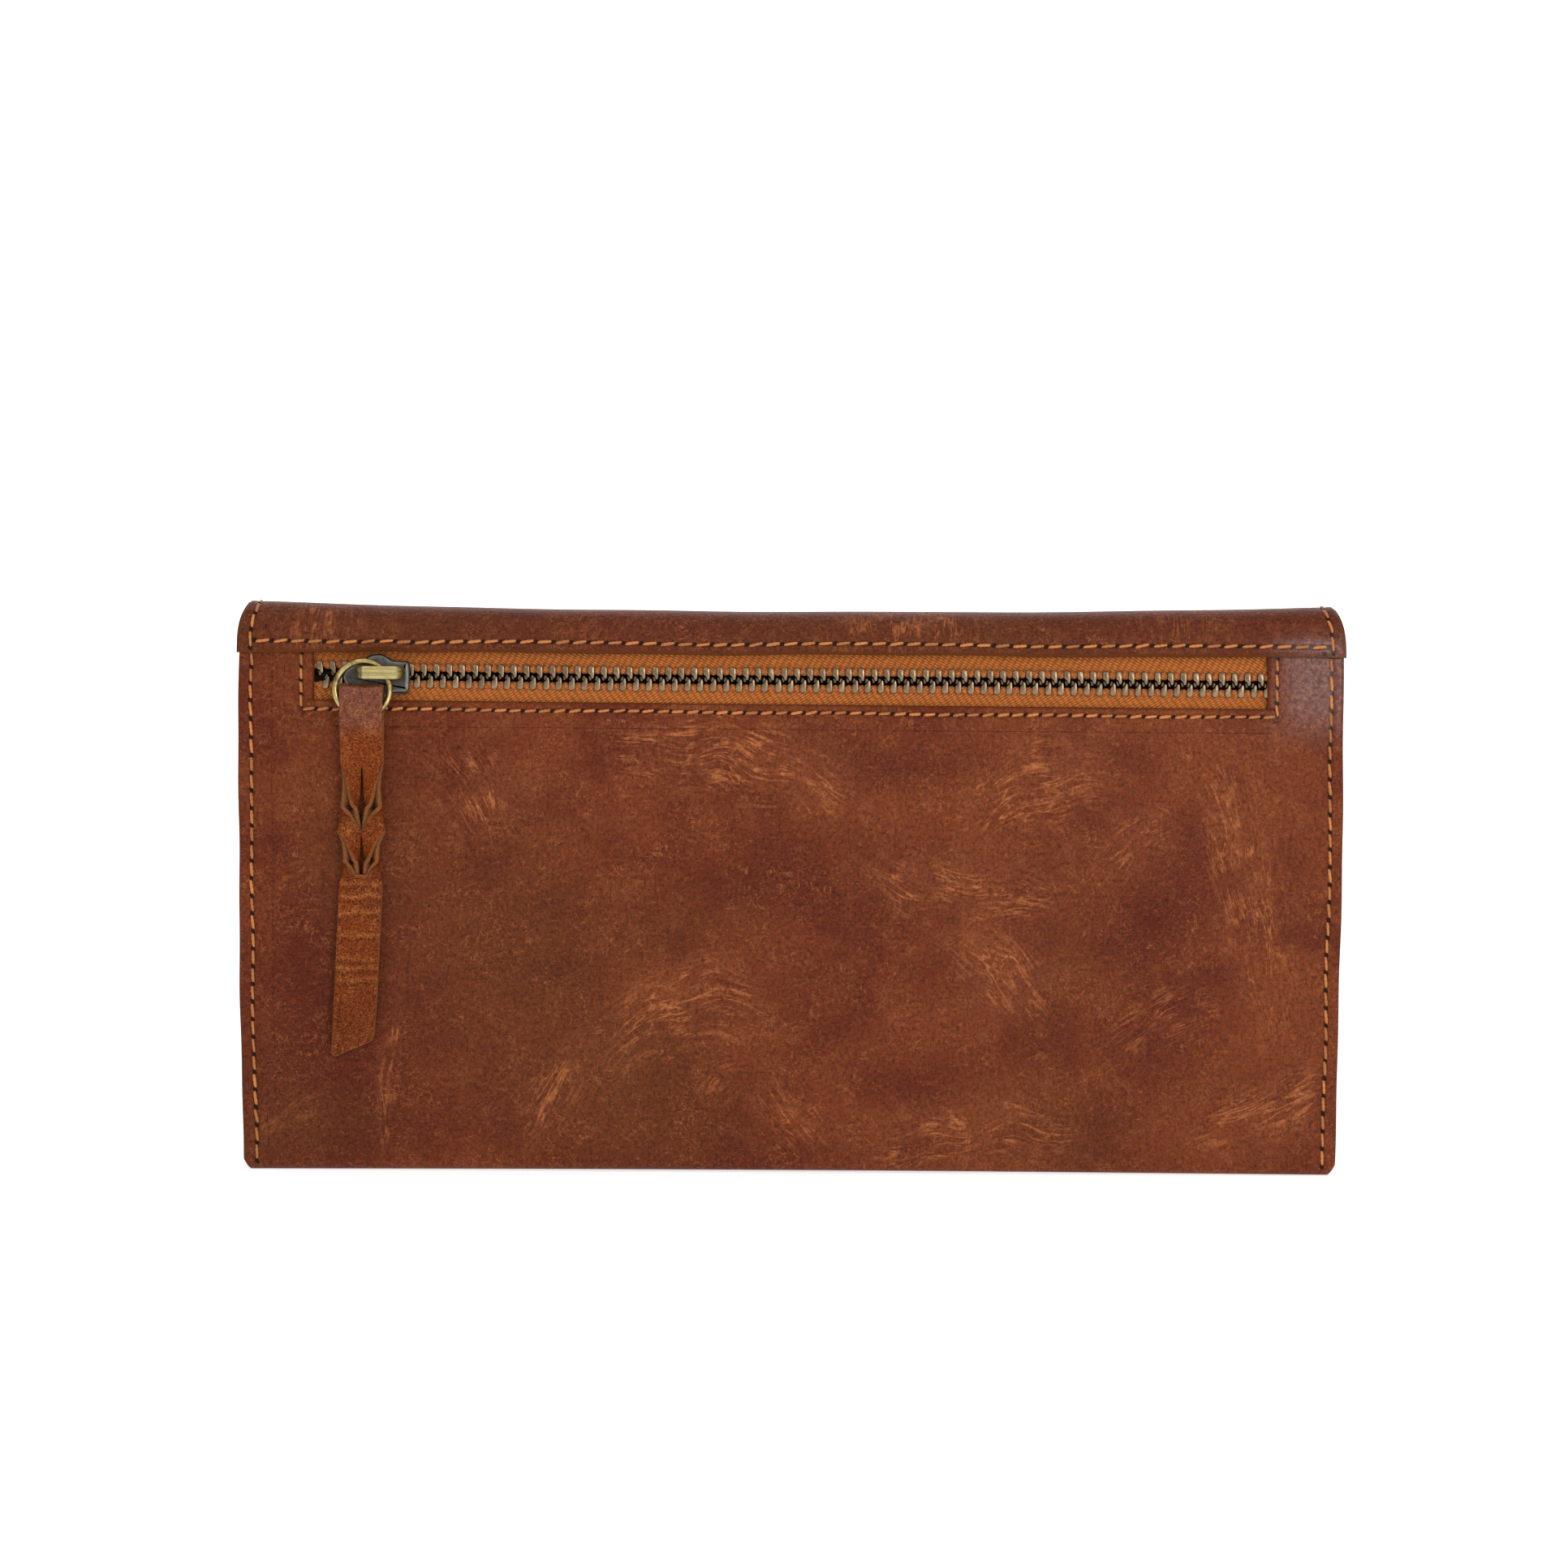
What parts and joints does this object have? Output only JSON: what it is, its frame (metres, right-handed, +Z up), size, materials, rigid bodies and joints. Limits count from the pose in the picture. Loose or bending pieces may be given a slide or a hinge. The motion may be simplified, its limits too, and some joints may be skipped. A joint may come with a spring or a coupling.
{
  "type": "zipped flap wallet",
  "caption": "Long leather flap wallet standing on its folded base, with a zipped back pocket, leather pull strap, snap flap and card divider.",
  "frame": {"origin": "on the surface it stands on, under the middle of the folded base", "axes": "+X along the wallet, to the right as the zipped back is seen; +Y through the thickness, from the zipped back to the flap's front; +Z up"},
  "size_m": [0.2006, 0.0302, 0.103],
  "materials": {
    "body_leather": "waxed pull-up, semi-sheen",
    "flap_leather": "waxed pull-up, semi-sheen",
    "strap_leather": "waxed pull-up, semi-sheen",
    "welt_leather": "raw split",
    "card_leather": "smooth, thin",
    "lining": "plain weave",
    "gusset_cloth": "plain weave",
    "tape": "twill weave",
    "thread": "twisted waxed thread",
    "teeth_metal": "antique, polished faces",
    "slider_metal": "dark antique plating",
    "bridge_metal": "antique",
    "ring_metal": "antique",
    "snap_metal": "antique"
  },
  "bodies": {
    "pouch": {"back_panel": "body_leather", "base_fold": "body_leather", "flap_seam_strip": "flap_leather", "side_welt_left": "welt_leather", "side_welt_right": "welt_leather", "pocket_outer_ply": "lining", "pocket_inner_ply": "lining", "gusset_left": "gusset_cloth", "gusset_right": "gusset_cloth", "zip_tape_upper": "tape", "zip_tape_lower": "tape", "zip_teeth_upper": "teeth_metal", "zip_teeth_lower": "teeth_metal", "zip_top_stops": "teeth_metal", "zip_bottom_stop": "teeth_metal", "stitch_side_left": "thread", "stitch_side_right": "thread", "stitch_zip_window": "thread", "stitch_flap_seam": "thread"},
    "divider": {"divider_board": "lining", "card_slot_1": "card_leather", "card_slot_2": "card_leather", "card_slot_3": "card_leather"},
    "front": {"front_panel": "body_leather", "front_lining": "lining", "snap_stud": "snap_metal", "snap_post": "snap_metal", "stitch_front_top": "thread"},
    "flap_top": {"flap_top_leather": "flap_leather", "flap_top_lining": "lining"},
    "flap_cover": {"flap_cover_leather": "flap_leather", "flap_cover_lining": "lining", "snap_cap": "snap_metal", "snap_socket": "snap_metal", "stitch_flap_edge": "thread"},
    "slider": {"slider_body": "slider_metal", "slider_bridge": "bridge_metal"},
    "pull_ring": {"pull_ring": "ring_metal"},
    "pull_strap": {"pull_strap": "strap_leather"}
  },
  "joints": [
    {"name": "flap_rise", "type": "hinge", "parent": "pouch", "child": "flap_top", "pos_m": [0, -0.01079, 0.10139], "axis": [1, 0, 0], "range_deg": [0, 90]},
    {"name": "flap_unfold", "type": "hinge", "parent": "flap_top", "child": "flap_cover", "pos_m": [0, 0.01199, 0.10139], "axis": [1, 0, 0], "range_deg": [0, 90]},
    {"name": "front_lean", "type": "hinge", "parent": "pouch", "child": "front", "pos_m": [0, 0.0087, 0.00315], "axis": [-1, 0, 0], "range_deg": [0, 8], "deforming": ["gusset_left", "gusset_right"]},
    {"name": "divider_lean", "type": "hinge", "parent": "pouch", "child": "divider", "pos_m": [0, 0.0005, 0.002], "axis": [-1, 0, 0], "range_deg": [0, 4]},
    {"name": "zip_travel", "type": "slide", "parent": "pouch", "child": "slider", "axis": [1, 0, 0], "range_m": [0, 0.153], "deforming": ["zip_teeth_upper", "zip_teeth_lower", "zip_tape_upper", "zip_tape_lower"]},
    {"name": "ring_lift", "type": "hinge", "parent": "slider", "child": "pull_ring", "pos_m": [-0.07324, -0.013, 0.08988], "axis": [-0.5878, 0, 0.809], "range_deg": [0, 45]},
    {"name": "strap_swing", "type": "hinge", "parent": "pull_ring", "child": "pull_strap", "pos_m": [-0.0772, -0.0134, 0.087], "axis": [0, 1, 0], "range_deg": [-8, 25]}
  ],
  "couplings": [
    {"joint": "flap_unfold", "follows": "flap_rise", "ratio": 1},
    {"joint": "front_lean", "follows": "flap_rise", "ratio": 0.088889},
    {"joint": "divider_lean", "follows": "flap_rise", "ratio": 0.044444}
  ]
}
